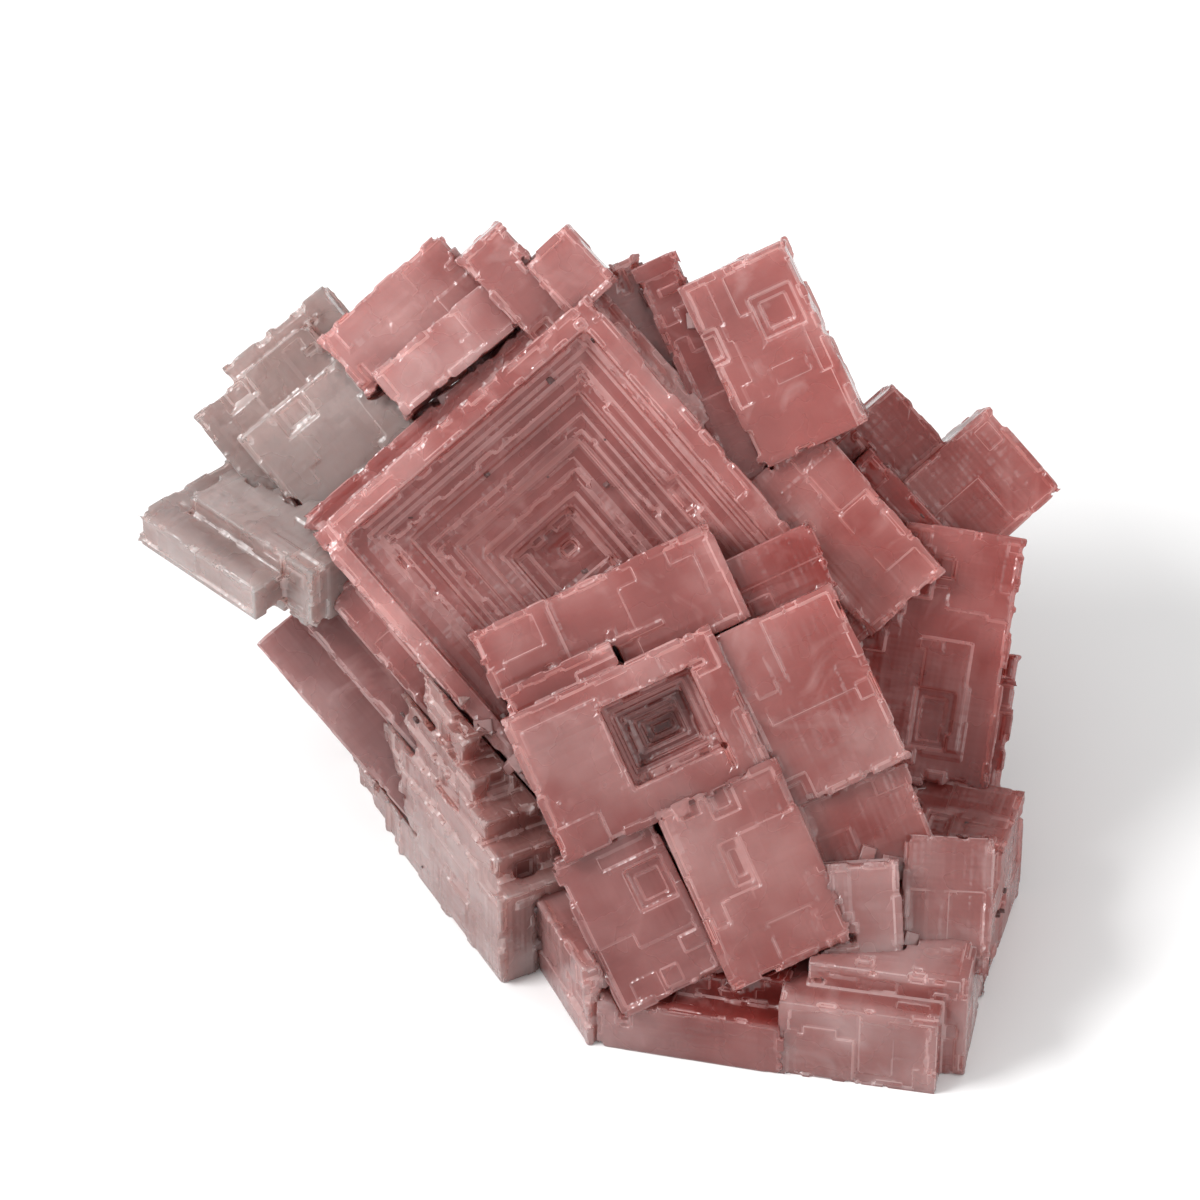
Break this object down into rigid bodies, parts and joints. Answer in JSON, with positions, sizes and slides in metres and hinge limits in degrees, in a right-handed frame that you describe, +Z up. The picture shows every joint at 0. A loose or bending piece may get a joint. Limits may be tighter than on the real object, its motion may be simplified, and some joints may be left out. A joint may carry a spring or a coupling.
{
  "type": "pink halite crystal cluster",
  "caption": "Loose cluster of intergrown pink halite crystals: a large stepped hopper face with cubes and thin plates round it, cut flat underneath.",
  "frame": {"origin": "on the resting plane, under the middle of the cluster's outline", "axes": "+Z up from the resting plane, -Y towards the side that the large hopper face leans to, +X to the right as seen from there"},
  "size_m": [0.0494, 0.0416, 0.0322],
  "materials": {
    "rose_halite": "milky translucent salt, rose pink, satin faces with glossy edges",
    "deep_halite": "translucent salt, deep red where it is thick, satin",
    "pale_halite": "frosted salt, pale pink, satin",
    "smoky_halite": "thin, nearly clear greyish salt with milky bands"
  },
  "bodies": {
    "root": {"pitted_cube": "rose_halite", "lower_middle_cube": "rose_halite", "lower_right_cube": "rose_halite", "seat_ledge": "rose_halite", "right_foot": "rose_halite", "apex_cube": "rose_halite", "upper_left_plate": "rose_halite", "column_left": "rose_halite", "right_ledge": "rose_halite", "great_hopper": "rose_halite", "left_foot": "rose_halite", "rear_foot": "rose_halite", "rear_upper_cube": "rose_halite", "lower_left_cube": "deep_halite", "right_step": "deep_halite", "front_crust": "deep_halite", "column_right": "deep_halite", "right_shelf": "deep_halite", "right_wing": "deep_halite", "right_flank": "deep_halite", "rear_right_cube": "deep_halite", "upper_right_bar": "pale_halite", "right_cube": "pale_halite", "small_cube_inner": "pale_halite", "small_cube_outer": "pale_halite", "corner_block": "pale_halite", "apex_plate": "pale_halite", "bright_bar": "pale_halite", "rear_left_cube": "pale_halite", "rear_small_cube": "pale_halite", "smoky_lobe": "smoky_halite", "smoky_tip": "smoky_halite", "left_flank": "smoky_halite"}
  },
  "joints": []
}
